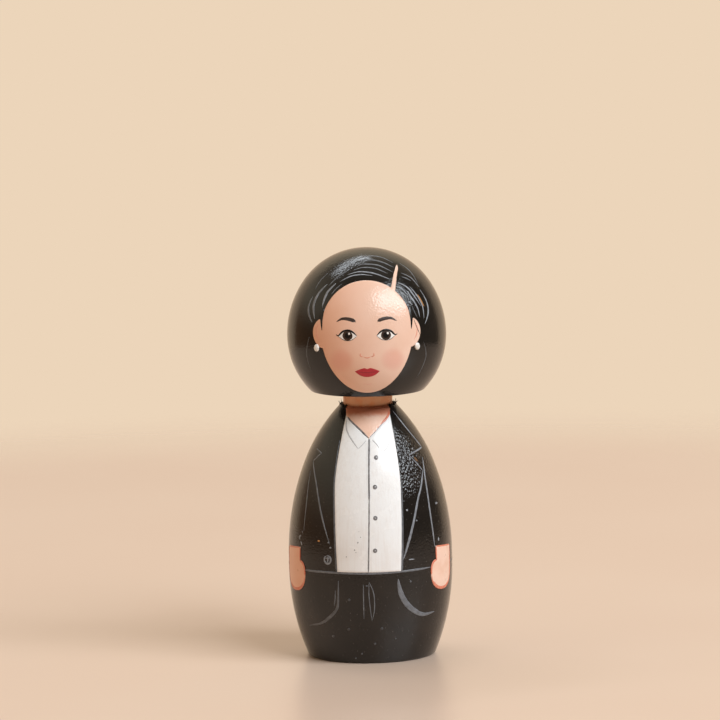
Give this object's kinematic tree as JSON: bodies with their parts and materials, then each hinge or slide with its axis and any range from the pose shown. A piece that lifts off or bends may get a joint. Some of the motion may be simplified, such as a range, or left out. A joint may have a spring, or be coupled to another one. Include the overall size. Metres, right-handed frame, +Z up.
{
  "type": "peg doll",
  "caption": "Turned wooden peg doll with an egg-shaped body, a ball head that turns on a dowel neck, painted dress and hair, and a flat foot to stand on.",
  "frame": {"origin": "middle of the flat foot, on the turning axis", "axes": "+Z up along the turning axis, -Y towards the front of the doll, +X towards the doll's own left"},
  "size_m": [0.04, 0.0401, 0.1],
  "materials": {
    "black_paint": "black acrylic paint on turned wood, varnished to a satin gloss",
    "hair_paint": "black acrylic paint on turned wood, varnished to a high gloss",
    "neck_wood": "thin skin-coloured wash on a wooden dowel",
    "skin_paint": "skin-coloured acrylic paint under varnish",
    "white_paint": "white acrylic paint under varnish",
    "pearl_paint": "raised drop of pearl white paint",
    "grey_line_paint": "grey acrylic brush lines on the black and white coats",
    "warm_line_paint": "orange and red acrylic brush lines on the skin coats"
  },
  "bodies": {
    "body": {"body": "black_paint", "shirt_coat": "white_paint", "throat_coat": "skin_paint", "left_hand_coat": "skin_paint", "right_hand_coat": "skin_paint"},
    "head": {"head": "hair_paint", "neck_dowel": "neck_wood", "face_coat": "skin_paint", "pearl_earrings": "pearl_paint"}
  },
  "joints": [
    {"name": "head_turn", "type": "hinge", "parent": "body", "child": "head", "pos_m": [0, 0, 0.0615], "axis": [0, 0, 1], "continuous": true}
  ]
}
